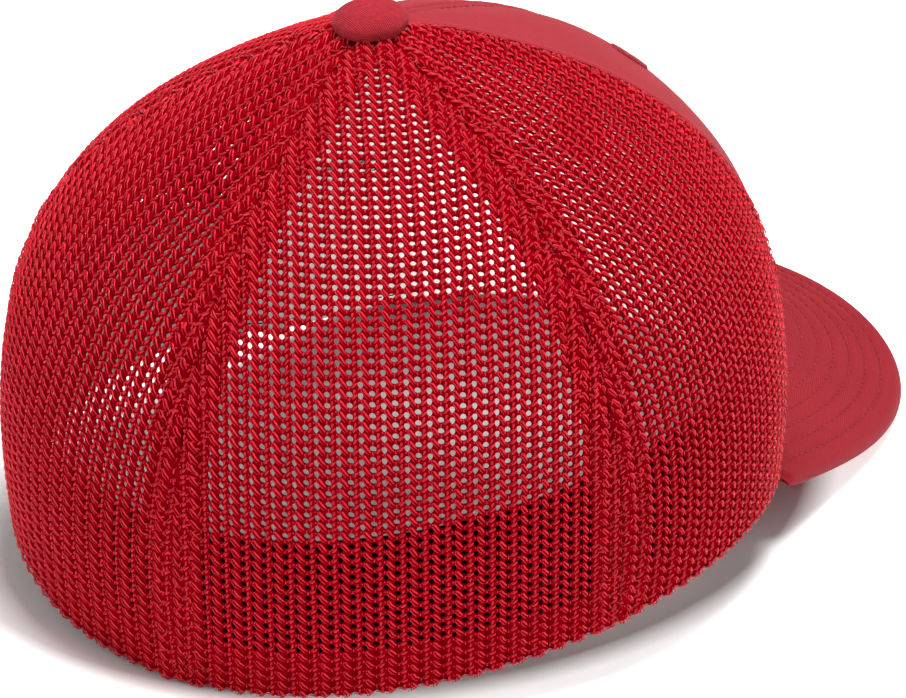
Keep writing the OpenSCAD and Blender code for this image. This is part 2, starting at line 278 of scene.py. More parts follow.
# ---------------- materials
class Shader:
    """A small helper that adds nodes to a material and links them."""

    def __init__(self, name, **settings):
        self.material = bpy.data.materials.new(name)
        self.material.use_nodes = True
        self.nodes = self.material.node_tree.nodes
        self.links = self.material.node_tree.links
        self.surface = self.nodes["Principled BSDF"]
        for key, value in settings.items():
            self.surface.inputs[key.replace("_", " ")].default_value = value

    def add(self, kind, inputs=None, **properties):
        node = self.nodes.new(kind)
        for key, value in properties.items():
            setattr(node, key, value)
        for key, value in (inputs or {}).items():
            if isinstance(value, bpy.types.NodeSocket):
                self.links.new(value, node.inputs[key])
            else:
                node.inputs[key].default_value = value
        return node

    def attribute(self, name):
        return self.add("ShaderNodeAttribute", attribute_name=name).outputs["Fac"]

    def maths(self, operation, first, second=0.0):
        return self.add("ShaderNodeMath", {0: first, 1: second}, operation=operation).outputs[0]

    def wave(self, value, pitch):
        return self.maths("SINE", self.maths("MULTIPLY", value, 2 * math.pi / pitch))

    def total(self, *terms):
        """The sum of (value, weight) terms."""
        result, *rest = (self.maths("MULTIPLY", value, weight) for value, weight in terms)
        for term in rest:
            result = self.maths("ADD", result, term)
        return result

    def place(self):
        return self.add("ShaderNodeTexCoord").outputs["Object"]

    def noise(self, scale, detail=3.0):
        inputs = {"Vector": self.place(), "Scale": scale, "Detail": detail}
        return self.add("ShaderNodeTexNoise", inputs).outputs["Fac"]

    def ramp(self, value, *stops):
        """A colour ramp of (place, colour) stops."""
        node = self.add("ShaderNodeValToRGB", {"Fac": value})
        while len(node.color_ramp.elements) < len(stops):
            node.color_ramp.elements.new(0.5)
        for element, (place, colour) in zip(node.color_ramp.elements, stops):
            element.position = place
            element.color = (*colour, 1.0)
        return node.outputs["Color"]

    def mix(self, factor, first, second):
        return self.add("ShaderNodeMix", {0: factor, 6: first, 7: second}, data_type="RGBA").outputs[2]

    def scaled(self, value, low, high):
        return self.add("ShaderNodeMapRange", {0: value, 3: low, 4: high}).outputs[0]

    def bump(self, height, distance, strength=1.0, normal=None):
        inputs = {"Height": height, "Distance": distance, "Strength": strength}
        if normal:
            inputs["Normal"] = normal
        return self.add("ShaderNodeBump", inputs).outputs["Normal"]

    def finish(self, colour, roughness, normal=None):
        self.links.new(colour, self.surface.inputs["Base Color"])
        self.links.new(roughness, self.surface.inputs["Roughness"])
        if normal:
            self.links.new(normal, self.surface.inputs["Normal"])
        return self.material


def srgb(red, green, blue):
    """A linear colour from 0 to 255 values as a screen shows them."""
    shares = (value / 255 for value in (red, green, blue))
    return tuple(c / 12.92 if c <= 10 / 255 else ((c + 0.055) / 1.055) ** 2.4 for c in shares)


FILAMENTS = 6                # filaments seen round a yarn
TWILL_WEFT = 0.42            # spacing of twill's weft in mm
BAND_RIB = 1.1               # spacing of the sweatband's ribs in mm


def yarn_material(name, deep, bright, shine=0.3, rough=(0.5, 0.3)):
    """Satin multifilament yarn: fine twisted filaments along its length, and uneven dye. Its tone is painted
    shade and light: it runs from 0 in the deepest strands, in painted shade, to 1 on the floats that stand
    out, in painted light."""
    s = Shader(name, Specular_IOR_Level=shine)
    twist = s.total((s.attribute("along"), 2.2), (s.attribute("round"), 1.0))
    filament = s.wave(twist, 1 / FILAMENTS)
    painted_shade_and_tone = s.attribute("tone")
    tone = s.total((painted_shade_and_tone, 0.75), (filament, 0.06), (s.noise(90.0, 2.0), 0.25))
    # the ramp from deep to bright by tone paints shade and light on the knit's strands
    colour = s.ramp(tone, (0.1, deep), (0.95, bright))
    rough = s.total((s.scaled(painted_shade_and_tone, *rough), 1.0), (s.noise(900.0), 0.1))
    return s.finish(colour, rough, s.bump(filament, 0.00004, 0.6))


def twill_material(name, deep, bright, pitch=0.55, rib_depth=0.00007, rib_tone=0.09):
    """Cotton twill: steep diagonal ribs, crossed by the finer weft, with a soft sheen and a little fuzz."""
    s = Shader(name, Specular_IOR_Level=0.2, Sheen_Weight=0.03, Sheen_Roughness=0.5)
    across, up = s.attribute("across"), s.attribute("up")
    rib = s.wave(s.total((across, 0.86), (up, 0.5), (s.noise(160.0), 0.25)), pitch)
    weave = s.total((rib, 0.7), (s.wave(up, TWILL_WEFT), 0.3))
    tone = s.total((s.noise(35.0, 5.0), 0.45), (s.noise(900.0), 0.55), (weave, rib_tone))
    colour = s.ramp(tone, (0.22, deep), (0.8, bright))
    rough = s.scaled(weave, 0.72, 0.9)
    fuzz = s.bump(s.noise(2600.0), 0.00006, 0.35)
    return s.finish(colour, rough, s.bump(weave, rib_depth, 0.55, fuzz))


def plain_weave_material(name, deep, bright, pitch, roughness=(0.7, 0.9)):
    """A plain weave: warp and weft that pass over each other."""
    s = Shader(name, Specular_IOR_Level=0.3)
    weft = s.wave(s.attribute("up"), pitch)
    weave = s.maths("MULTIPLY", s.wave(s.attribute("across"), pitch), weft)
    ribs = s.total((weave, 0.5), (weft, 0.5))
    tone = s.total((s.noise(60.0, 4.0), 1.0), (ribs, 0.18))
    fuzz = s.bump(s.noise(2200.0), 0.00005, 0.3)
    return s.finish(s.ramp(tone, (0.25, deep), (0.75, bright)), s.scaled(ribs, *roughness),
                    s.bump(ribs, 0.00009, 0.6, fuzz))


def sweatband_material():
    """A black ribbed knit outside, and light towelling on the face that touches the head."""
    s = Shader("sweatband", Specular_IOR_Level=0.2)
    rib = s.wave(s.attribute("across"), BAND_RIB)
    black = s.ramp(s.total((s.noise(60.0), 1.0), (rib, 0.15)), (0.3, srgb(8, 8, 10)), (0.8, srgb(30, 30, 34)))
    pile = s.noise(1500.0, 5.0)
    light = s.ramp(s.total((pile, 0.6), (s.noise(50.0), 0.4)),
                   (0.3, srgb(206, 202, 198)), (0.7, srgb(240, 238, 234)))
    height = s.total((rib, 0.4), (pile, 1.0))
    colour = s.mix(s.attribute("face"), black, light)
    return s.finish(colour, s.scaled(pile, 0.8, 0.95), s.bump(height, 0.00015, 0.6))


def plated_steel_material():
    s = Shader("plated_steel", Metallic=1.0)
    rings = s.add("ShaderNodeTexWave", {"Vector": s.place(), "Scale": 900.0, "Distortion": 2.0},
                  wave_type="RINGS", rings_direction="Z").outputs["Fac"]
    wear = s.noise(260.0, 5.0)
    colour = s.ramp(wear, (0.3, srgb(150, 148, 145)), (0.7, srgb(196, 195, 192)))
    return s.finish(colour, s.scaled(wear, 0.25, 0.5), s.bump(rings, 0.00002, 0.4))


def board_material():
    s = Shader("visor_board", Specular_IOR_Level=0.4)
    grain = s.noise(700.0, 4.0)
    colour = s.ramp(s.noise(30.0), (0.3, srgb(225, 225, 220)), (0.7, srgb(240, 240, 236)))
    return s.finish(colour, s.scaled(grain, 0.4, 0.6), s.bump(grain, 0.00003, 0.5))


# An oval of painted shadow on the floor, where the floor's own glow is turned off.
SHADE_CENTRE = (0.22 * HALF_WIDTH, -0.25 * HALF_WIDTH, 0)
SHADE_HALF = (1.10 * HALF_WIDTH, 1.25 * HALF_WIDTH, 1)      # half its length each way
SHADE_EDGE = 1.08            # where the shade ends, as a share of SHADE_HALF
FLOOR_GLOW = 0.68
PALE = ((0.3, (0.90, 0.90, 0.90)), (0.7, (0.92, 0.92, 0.92)))


def floor_material():
    """Pale and slightly lit of itself, except in an oval of painted shadow, where its glow fades out. The
    shadow lies under the crown, and reaches past its raised rim at the front and left."""
    s = Shader("floor", Specular_IOR_Level=0.2, Emission_Color=(1, 1, 1, 1))
    offset = s.add("ShaderNodeVectorMath", {0: s.place(), 1: SHADE_CENTRE}, operation="SUBTRACT")
    share = s.add("ShaderNodeVectorMath", {0: offset.outputs["Vector"], 1: SHADE_HALF}, operation="DIVIDE")
    reach = s.add("ShaderNodeVectorMath", {0: share.outputs["Vector"]}, operation="LENGTH")
    glow = s.add("ShaderNodeMapRange", {0: reach.outputs["Value"], 1: 1.0, 2: SHADE_EDGE, 3: 0.0,
                                        4: FLOOR_GLOW})
    s.links.new(glow.outputs[0], s.surface.inputs["Emission Strength"])
    return s.finish(s.ramp(s.noise(3.0), *PALE), s.scaled(s.noise(40.0), 0.7, 0.8))


def backdrop_material():
    s = Shader("backdrop", Specular_IOR_Level=0.0, Emission_Color=(1, 1, 1, 1), Emission_Strength=1.0)
    return s.finish(s.ramp(s.noise(0.05), *PALE), s.scaled(s.noise(0.1), 0.8, 0.9))


# YARN's deep and bright colours are painted shade and light, picked by each strand's tone. The ground yarn is
# the same yarn in darker colours: painted shade between the floats.
YARN = yarn_material("mesh_yarn", srgb(150, 0, 20), srgb(255, 34, 58), shine=0.4, rough=(0.44, 0.26))
SHADED_GROUND_YARN = yarn_material("mesh_ground_yarn_painted_shade", srgb(150, 0, 18), srgb(190, 4, 32), shine=0.0,
                            rough=(0.85, 0.7))
# The front, visor and button twill are one red twill. Their different colour ranges are painted light and
# shade: paler on the front panels, where light falls from above, deeper on the visor, and on the button a
# wide range along its ribs.
TWILL_FRONT = twill_material("front_twill", srgb(142, 26, 37), srgb(166, 42, 53))
TWILL_VISOR = twill_material("visor_twill", srgb(132, 4, 22), srgb(156, 22, 38))
TWILL_BUTTON = twill_material("button_twill", srgb(128, 2, 20), srgb(206, 46, 62), pitch=0.45,
                              rib_depth=0.0006, rib_tone=0.4)
BUCKRAM = plain_weave_material("buckram", srgb(226, 222, 216), srgb(250, 248, 244), pitch=1.3)
TAPE = plain_weave_material("seam_tape", srgb(120, 8, 24), srgb(160, 22, 40), pitch=0.6)
BAND = sweatband_material()
LABEL = plain_weave_material("label", srgb(232, 232, 230), srgb(252, 252, 250), pitch=0.4,
                             roughness=(0.4, 0.6))
THREAD = yarn_material("thread", srgb(138, 12, 28), srgb(176, 36, 50))
THREAD_BLACK = yarn_material("thread_black", srgb(10, 10, 12), srgb(30, 30, 34))
THREAD_WHITE = yarn_material("thread_white", srgb(220, 220, 218), srgb(248, 248, 246))
STEEL = plated_steel_material()
BOARD = board_material()


# ---------------- knitted mesh (millimetres within the fabric)
PERIOD = 4.88        # across, from one valley column of holes to the next; a ridge column lies between them
COURSE = 2.35        # up, from one hole to the next in its column
RIDGE = 0.38         # how far the ridge columns stand out, and the valley columns in
RIDGE_DROP = 0.45    # how far the ridge columns' holes sit below the valley columns'
HOLE = 0.74          # radius of a hole
PINHOLE = 0.05       # what is left of a hole where the fabric is doubled
GROUND = 0.50        # thickness of the ground fabric under the floats
HOLE_SIDES = 8
HEM = 11.5           # height of the turned-up hem, where a second layer fills the holes
REAR_BAND = 7.0      # doubled fabric beside a rear seam
FRONT_BAND = 4.6     # doubled fabric beside the seam to the front panels
FOLD = 1.2           # radius of the fold at the foot of the hem
FOLD_TURN = 2.9      # angle that the fold turns through
SETTLE = 0.4         # how far the knit lies inside the crown's outer surface
UNDER_BUTTON = 5.0   # the panels end this far from the peak, under the button
COLUMN_REACH = 49    # lattice columns to each side of a panel's middle, a quarter period apart
MAP_TURN = 0.72      # half the angle in radians that a panel's map covers
MAP_REACH = 70       # and half its width in mm
JITTER = 0.04        # spread of a strand's wobble
SPECKLE_LOOPS = 2    # loose loops for each hole of a doubled band
SPECKLE_HALF = 0.55  # half the length of such a loop
SPECKLE_SPREAD = 1.1  # how far it may lie from the hole, each way
CROWDED = 0.3        # a hole less than this clear of a doubled band has such loops


class Panel:
    """A crown panel, with a flat fabric laid on it: across in mm from its middle, up in mm from the rim."""

    def __init__(self, low, high, low_band, high_band):
        self.low, self.high = low, high
        self.low_band, self.high_band = low_band, high_band
        shares = np.concatenate([np.linspace(0, 0.9, 60), np.linspace(0.905, 0.99, 30)])
        middle = (low(shares) + high(shares)) / 2
        path = crown(middle, shares) / MM
        self.up = distances(path)
        self.shares = shares
        turn = np.linspace(-MAP_TURN, MAP_TURN, 145)
        angles = middle[:, None] + turn
        ring = crown(angles, np.broadcast_to(shares[:, None], angles.shape)) / MM
        step = np.linalg.norm(np.diff(ring, axis=1), axis=2)
        across = np.concatenate([np.zeros((len(shares), 1)), np.cumsum(step, axis=1)], 1)
        across -= across[:, [len(turn) // 2]]
        self.reach = np.arange(-MAP_REACH, MAP_REACH + 0.1, 1.0)
        self.turn = np.array([np.interp(self.reach, row, turn) for row in across])
        self.middle = middle

    def place(self, across, up):
        """Angle and share of a point of the fabric."""
        share = np.interp(up, self.up, self.shares)
        row = np.interp(up, self.up, np.arange(len(self.shares)))
        column = np.clip(across - self.reach[0], 0, len(self.reach) - 1.001)
        i, j = np.minimum(row.astype(int), len(self.shares) - 2), column.astype(int)
        s, t = row - i, column - j
        turn = ((1 - s) * (1 - t) * self.turn[i, j] + (1 - s) * t * self.turn[i, j + 1]
                + s * (1 - t) * self.turn[i + 1, j] + s * t * self.turn[i + 1, j + 1])
        return np.interp(up, self.up, self.middle) + turn, share

    def seam_distances(self, angle, share):
        """Distances in mm to the low and the high seam; negative outside the panel."""
        radius = crown_radius(angle, share)
        return (angle - self.low(share)) * radius, (self.high(share) - angle) * radius

    def surface(self, across, up, lift):
        """Point and outward direction of places in the fabric, folded in at the hem, and their distance from
        the nearer seam and from the doubled bands along the seams."""
        fold = np.clip((FOLD - up) / FOLD, 0, FOLD_TURN)
        angle, share = self.place(across, np.maximum(up, FOLD))
        to_low, to_high = self.seam_distances(angle, share)
        gap = np.minimum(to_low, to_high)
        clear = np.minimum(to_low - self.low_band, to_high - self.high_band)
        puff = 0.55 * bell(gap, 2.6, 1.6) - 0.12 * bell(gap, 0, 0.9)
        base, normal = on_crown(np.clip(angle, self.low(share), self.high(share)), share)
        bend = normal * np.cos(fold)[..., None] + DOWN * np.sin(fold)[..., None]
        centre = base - normal * FOLD * MM
        return centre + bend * ((FOLD + puff + lift - SETTLE) * MM)[..., None], bend, gap, clear


DOWN = np.array([0, 0, -1.0])


def seam_line(degrees):
    return lambda share: np.full(np.shape(share), math.radians(degrees))


PANELS = {
    "side_mesh_left": Panel(front_seam, seam_line(REAR_SEAM), FRONT_BAND, REAR_BAND),
    "rear_mesh_left": Panel(seam_line(REAR_SEAM), seam_line(REAR_CENTRE), REAR_BAND, REAR_BAND),
    "rear_mesh_right": Panel(seam_line(REAR_CENTRE), seam_line(360 - REAR_SEAM), REAR_BAND, REAR_BAND),
    "side_mesh_right": Panel(seam_line(360 - REAR_SEAM), lambda share: 2 * math.pi - front_seam(share),
                             REAR_BAND, FRONT_BAND),
}


def ridge(across):
    """0 at a valley column of the knit, 1 at a ridge column."""
    return (1 - np.cos(across / PERIOD * 2 * math.pi)) / 2


class Knit:
    """One part of a mesh panel: a holed ground fabric, and the floats and loops that lie on it."""

    def __init__(self, panel, low, high):
        self.panel = panel
        rows = np.arange(2 * math.floor(low / COURSE), 2 * math.floor(high / COURSE) + 1)
        columns = np.arange(-COLUMN_REACH, COLUMN_REACH + 1)
        self.rows, self.columns = len(rows), len(columns)
        self.across, self.up = np.meshgrid(columns * PERIOD / 4, rows * COURSE / 2)
        i, j = np.meshgrid(np.arange(1, len(rows), 2), np.arange(1, len(columns), 2), indexing="ij")
        centre = self.across[i, j], self.up[i, j]
        clear = self.place(*centre, 0)[3]
        inside = self.place(self.across, self.up, 0)[2] > 0.05
        keep = np.any([inside[i + a, j + b] for a in (-1, 0, 1) for b in (-1, 0, 1)], axis=0)
        keep &= centre[1] < panel.up[-1] - UNDER_BUTTON
        self.cell = i[keep], j[keep]
        self.holes = np.stack([centre[0][keep], centre[1][keep]], -1)
        self.is_ridge = ridge(self.holes[:, 0]) > 0.5
        self.clear = clear[keep]
        self.parts, self.along, self.round, self.tone = [], [], [], []

    def place(self, across, up, lift):
        lift = lift + RIDGE * (2 * ridge(across) - 1)
        return self.panel.surface(across, up - RIDGE_DROP * ridge(across), lift)

    def add(self, points, faces, along, round_it, tone):
        self.parts.append((points, faces))
        for values, more in ((self.along, along), (self.round, round_it), (self.tone, tone)):
            values.append(np.broadcast_to(more, len(points)))

    def ground(self):
        """A sheet with a round hole in each cell of the knit, closed up where another layer lies behind."""
        turn = turns(HOLE_SIDES)
        lean = np.where(self.is_ridge[:, None], 1 + 0.22 * np.cos(4 * turn) * (np.sin(turn) < -0.9), 1.0)
        wide = HOLE * np.where(self.is_ridge, 0.86, 1.0)[:, None] * lean
        high = HOLE * np.where(self.is_ridge, 0.92, 0.82)[:, None] * lean
        over_hem = smooth(HEM - 0.5, HEM + 0.5, self.holes[:, 1])
        is_open = (smooth(-0.4, 0.8, self.clear) * over_hem)[:, None]
        wide, high = (PINHOLE + (size - PINHOLE) * is_open for size in (wide, high))
        ring_across = self.holes[:, :1] + wide * np.cos(turn)
        ring_up = self.holes[:, 1:] + high * np.sin(turn) - 0.18 * wide * np.cos(turn)
        pit = np.where(self.clear > 0, 0.75, 0.3)[:, None] * (1 - is_open)
        step = np.round(np.stack([np.cos(turn), np.sin(turn)]) * 1.2).astype(int)
        around = (self.cell[0][:, None] + step[1]) * self.columns + self.cell[1][:, None] + step[0]
        lattice = self.columns * self.rows
        layers = []
        for depth in (GROUND * 0.4, GROUND * 1.4):
            sheet = self.place(self.across, self.up, -depth)[0].reshape(-1, 3)
            ring = self.place(ring_across, ring_up, -depth - pit)[0].reshape(-1, 3)
            layers.append(np.concatenate([sheet, ring]))
        rings = lattice + np.arange(ring_across.size).reshape(-1, HOLE_SIDES)
        total = len(layers[0])
        after, rings_after = np.roll(around, -1, 1), np.roll(rings, -1, 1)
        front = np.stack([around, after, rings_after, rings], -1).reshape(-1, 4)
        walls = np.stack([rings, rings_after, rings_after + total, rings + total], -1).reshape(-1, 4)
        edges = np.stack([around, after], -1).reshape(-1, 2)
        key = np.sort(edges, 1) @ [lattice, 1]
        keys, uses = np.unique(key, return_counts=True)
        border = edges[np.isin(key, keys[uses == 1])]
        hem = np.stack([border[:, 1], border[:, 0], border[:, 0] + total, border[:, 1] + total], -1)
        faces = np.concatenate([front, front[:, ::-1] + total, walls, hem])
        across = np.concatenate([self.across.ravel(), ring_across.ravel()])
        up = np.concatenate([self.up.ravel(), ring_up.ravel()])
        zigzag = COURSE * np.abs((across / PERIOD * 2 + 1) % 2 - 1)
        along, round_it = np.tile(across * 0.02, 2), np.tile((up - zigzag) * 0.5, 2)
        # tone 0: the ground sheet lies in painted shade, at the deep end of the yarn's colours
        self.add(np.concatenate(layers), faces, along, round_it, 0.0)

    def strand(self, holes, start, end, radius, lift, arch, tone, rings=5, sides=4):
        """A strand beside each hole. start and end are (across, up) from the hole; radius and lift hold the
        values at both ends."""
        t = eased(rings)
        start, end = (np.asarray(point, float).reshape(-1, 2) for point in (start, end))
        path = holes[:, None] + start[:, None] + (end - start)[:, None] * t[:, None]
        wobble = rng.normal(0, JITTER, path.shape[:2] + (3,))
        out = lift[0] + (lift[1] - lift[0]) * t + arch * np.sin(math.pi * t)
        up = path[..., 1] + wobble[..., 1]
        centre, outward, gap, _ = self.place(path[..., 0] + wobble[..., 0], up, out + wobble[..., 2])
        size = (radius[0] + (radius[1] - radius[0]) * t) * blunt(t) * MM
        points, faces = tubes(centre, outward, size, size, sides, gap > 0.2)
        shade = np.repeat(np.broadcast_to(tone, up.shape) + rng.normal(0, 0.06, (len(holes), 1)), sides)
        round_it = np.tile(np.arange(sides) / sides, up.size)
        self.add(points, faces, np.repeat(path.sum(-1), sides), round_it, shade)

    def stitches(self):
        """The floats and loops of every cell, placed from the holes of the ridge and valley columns."""
        ridges, valleys = self.holes[self.is_ridge], self.holes[~self.is_ridge]
        # Each strand's tone is painted shade and light: 1 on the top floats, less on the smaller strands that
        # lie lower and behind them.
        for shift, radius, tone in ((0.0, 0.27, 1.0), (-0.50, 0.16, 0.6)):
            start, end = (0.50 + shift, 1.62 + 0.6 * shift), (2.05 + 0.9 * shift, -1.0 + 0.5 * shift)
            self.strand(ridges, start, end, (radius, 0.6 * radius), (0.12, 0.02), 0.30, tone)
        for shift, radius, tone in ((0.0, 0.24, 1.0), (-0.50, 0.15, 0.4)):
            self.strand(valleys, (0.62 + shift, -1.15), (1.85 + shift, 0.35), (radius, radius), (0.02, 0.05),
                        0.18, tone, rings=4)
        self.strand(valleys, (1.06, 0.15), (1.30, 1.22), (0.24, 0.30), (-0.02, 0.04), 0.10, 0.85)
        self.strand(valleys, (0.04, -1.62), (-0.04, -0.72), (0.15, 0.17), (0.0, 0.0), 0.25, 0.9, rings=4)
        for side in (-1, 1):
            self.strand(ridges, (side * 0.26, -1.15), (side * 0.34, -0.68), (0.14, 0.14), (0.05, 0.05), 0.12,
                        0.9, rings=4)

    def speckle(self):
        """Loops that lie every way where the doubled fabric is gathered along a seam."""
        crowded = self.holes[self.clear < CROWDED]
        for _ in range(SPECKLE_LOOPS):
            turn = rng.uniform(0, math.pi, len(crowded))
            middle = rng.uniform(-SPECKLE_SPREAD, SPECKLE_SPREAD, (len(crowded), 2))
            half = np.stack([np.cos(turn), np.sin(turn)], -1) * SPECKLE_HALF
            self.strand(crowded, middle - half, middle + half, (0.25, 0.18), (-0.1, -0.1), 0.32,
                        rng.uniform(0.0, 1.0, (len(crowded), 1)) ** 0.7, rings=4)

    def mesh(self):
        points, faces = joined(self.parts)
        return points, faces, [np.concatenate(v) for v in (self.along, self.round, self.tone)]


def mesh_panel(name):
    panel = PANELS[name]
    top = panel.up[-1]
    first_cut, second_cut = 0.34 * top, 0.62 * top
    for part, low, high in (("lower", -COURSE, first_cut), ("middle", first_cut, second_cut),
                            ("upper", second_cut, top)):
        knit = Knit(panel, low, high)
        knit.ground()
        ground_faces = len(knit.parts[0][1])
        knit.stitches()
        knit.speckle()
        points, faces, (along, round_it, tone) = knit.mesh()
        # the ground sheet takes the darker yarn, as painted shade; the strands take YARN
        piece = mesh_object(f"{name}_{part}_knit", points, faces, SHADED_GROUND_YARN, other=YARN,
                            other_from=ground_faces, along=along, round=round_it, tone=tone)
        stands_for(name)


for panel_name in PANELS:
    mesh_panel(panel_name)


# ---------------- stitches
STITCH_RINGS = 5
STITCH_SIDES = 5


def stitch_row(points, outward, length=2.5, gap=0.55, radius=0.17):
    """One row of stitches along a path: arched lengths of thread whose ends sink into the fabric."""
    distance = distances(points) / MM
    t = np.linspace(0, 1, STITCH_RINGS)
    starts = np.arange(gap, distance[-1] - length, length + gap)[:, None]
    starts = starts + rng.normal(0, 0.06, starts.shape)
    place = starts + t * length
    centre, normal = (np.stack([np.interp(place, distance, column) for column in values.T], -1)
                      for values in (points, outward))
    normal = unit(normal)
    centre = centre + normal * ((1.5 * np.sqrt(np.sin(math.pi * t).clip(0)) - 0.7) * radius * MM)[:, None]
    size = radius * MM * blunt(t)
    return tubes(centre, normal, size, size, STITCH_SIDES)


def stitching(name, rows, material, slot, body="root", **sizes):
    """One piece that holds rows of stitches. rows are (points, outward directions) along each row."""
    points, faces = joined([stitch_row(*row, **sizes) for row in rows])
    rings = len(points) // STITCH_SIDES
    tone = np.repeat(rng.uniform(0.3, 0.9, rings), STITCH_SIDES)
    piece = mesh_object(name, points, faces, material, body, tone=tone,
                        along=np.repeat(np.arange(rings) * 0.6, STITCH_SIDES),
                        round=np.tile(np.arange(STITCH_SIDES) / STITCH_SIDES, rings))
    return piece


# ---------------- sheets on the crown
def crown_sheet(name, angle, share, lift, thickness, material, bumps=0.0):
    """A closed sheet laid on the crown over a grid of places. lift, thickness and bumps are in mm."""
    rows, columns = angle.shape
    base, normal = on_crown(angle, share)
    across = (angle - angle.mean()) * crown_radius(angle, share)
    up = share * CROWN_HEIGHT * 1.15 / MM
    i, j = np.meshgrid(np.arange(rows), np.arange(columns), indexing="ij")
    border = (i == 0) | (i == rows - 1) | (j == 0) | (j == columns - 1)
    roll = 0.3 * thickness * border
    outer = base + normal * ((lift + bumps - roll) * MM)[..., None]
    inner = base + normal * ((lift - thickness + roll) * MM)[..., None]
    points, faces = closed_sheet(outer, inner)
    across, up = np.tile(across.ravel(), 2), np.tile(up.ravel(), 2)
    return mesh_object(name, points, faces, material, across=across, up=up)


def mirrored(line):
    return lambda share: -line(share)


PANEL_TOP = 0.985            # share of the crown's height where the front panels end, under the button
BUTTON_TUCK = math.radians(16)   # how far they run under the mesh panels beside the button
TUCK_START = 0.95            # share of the crown's height where that begins
BUCKRAM_TOP = 0.955          # and where the buckram behind them ends
CENTRE_STITCH = 4.0          # distance in mm of the topstitching from the front centre seam
TWILL_THICK, BUCKRAM_THICK, BUCKRAM_DEPTH = 0.7, 1.0, 0.8       # mm
PANEL_FLAT, PANEL_AREA = (0.088, 0.155), 0.0087       # metres and square metres, worked out from the model
BUCKRAM_FLAT, BUCKRAM_AREA = (0.086, 0.150), 0.0084


def panel_grid(low, high, rows, columns, top=PANEL_TOP):
    v = np.sin(np.linspace(0, math.pi / 2, rows))[:, None]
    u = eased(columns)
    share = np.broadcast_to(v * top, (rows, columns))
    return low(share) + (high(share) - low(share)) * u, share


def front_relief(angle, share):
    """The front panels' seams: turned in at the centre, puffed beside it, drawn in along the topstitching."""
    radius = crown_radius(angle, share)
    centre = np.abs(angle) * radius
    side = (front_seam(share) - np.abs(angle)) * radius
    valley = -0.6 * bell(centre, 0, 0.8) + 0.28 * bell(centre, 2.2, 1.3)
    stitched = -0.22 * bell(centre, CENTRE_STITCH, 0.7)
    pucker = 0.07 * bell(centre, CENTRE_STITCH, 1.8) * np.sin(share * 260 + 2 * np.sin(share * 47))
    edge = 0.3 * bell(side, 0.9, 0.8)
    sway = 0.16 * (1 + np.sin(angle * 9 + share * 5)) * smooth(3, 14, np.minimum(centre, side))
    return valley + stitched + pucker + edge + sway


def front_edge(share):
    """The front panels' rear edge: the seam, and under the button a little past it, to leave no gap."""
    return front_seam(share) + BUTTON_TUCK * smooth(TUCK_START, PANEL_TOP, share)


def front_panels():
    middle = seam_line(0)
    for side, low, high in (("left", middle, front_edge), ("right", mirrored(front_edge), middle)):
        angle, share = panel_grid(low, high, 120, 96)
        relief = front_relief(angle, share)
        panel = crown_sheet(f"front_panel_{side}_twill", angle, share, 0, TWILL_THICK, TWILL_FRONT, relief)
        cloth(panel, "front_twill", f"front_panel_{side}", *PANEL_FLAT, area=PANEL_AREA)
        angle, share = panel_grid(low, high, 80, 50, BUCKRAM_TOP)
        backing = crown_sheet(f"front_buckram_{side}_sheet", angle, share, -BUCKRAM_DEPTH, BUCKRAM_THICK,
                              BUCKRAM)
        cloth(backing, "buckram", f"front_buckram_{side}", *BUCKRAM_FLAT, area=BUCKRAM_AREA)
    share = np.linspace(0.02, 0.95, 260)
    rows = []
    for side in (-1, 1):
        angle = side * CENTRE_STITCH / crown_radius(np.zeros_like(share), share)
        rows.append(on_crown(angle, share, front_relief(angle, share) * MM))
    stitching("front_centre_stitching", rows, THREAD, "front_twill", length=1.9, gap=0.9)


# ---------------- seam tapes
TAPE_WIDTH, TAPE_DEPTH, TAPE_THICK = 12.0, 2.7, 0.7
TAPE_FOOT, TAPE_TOP = 0.003, 0.955       # metres, and a share of the crown's height
TAPE_STITCH_COLUMNS = (2, -3)        # columns of the tape's grid that its two rows of stitches follow


def seam_tape(name, line):
    """A woven tape over a seam on the inside, sewn down along both edges."""
    low = float(share_at(line(0.0), TAPE_FOOT))
    share = np.sin(np.linspace(math.asin(low), math.asin(TAPE_TOP), 90))[:, None]
    across = np.linspace(-1, 1, 13)
    middle = line(share)
    angle = middle + across * TAPE_WIDTH / 2 / crown_radius(middle, share)
    share = np.broadcast_to(share, angle.shape)
    tape = crown_sheet(f"{name}_weave", angle, share, -TAPE_DEPTH, TAPE_THICK, TAPE)
    run = on_crown(middle[:, 0], share[:, 0], -TAPE_DEPTH * MM)[0]
    cloth(tape, "seam_tape", name, TAPE_WIDTH * MM, float(np.linalg.norm(np.diff(run, axis=0), axis=1).sum()))
    rows = []
    for column in TAPE_STITCH_COLUMNS:
        points, normal = on_crown(angle[:, column], share[:, column], -(TAPE_DEPTH + TAPE_THICK) * MM)
        rows.append((points, -normal))
    return rows


def seam_tapes():
    rows = seam_tape("front_centre_tape", seam_line(0))
    for side, turn in (("left", 1), ("right", -1)):
        rows += seam_tape(f"front_side_tape_{side}", lambda share, turn=turn: turn * front_seam(share))
        rows += seam_tape(f"rear_side_tape_{side}", seam_line(turn * REAR_SEAM))
    rows += seam_tape("rear_centre_tape", seam_line(REAR_CENTRE))
    stitching("seam_tape_stitching", rows, THREAD_WHITE, "seam_tape", length=2.8, gap=0.8)


# ---------------- sweatband
BAND_THICK = 1.7
BAND_STITCH = 2.2            # distance in mm of the sweatband's stitching from its edges
BAND_SINK = 0.35             # how deep in mm that stitching draws it in
BAND_FOOT, BAND_DROP = 0.5, 3.4      # height in mm of its foot, and how much lower it is over the visor
BAND_ROUND = 85              # mean radius in mm, for its ribs
BAND_LENGTH = 0.545          # metres, laid flat


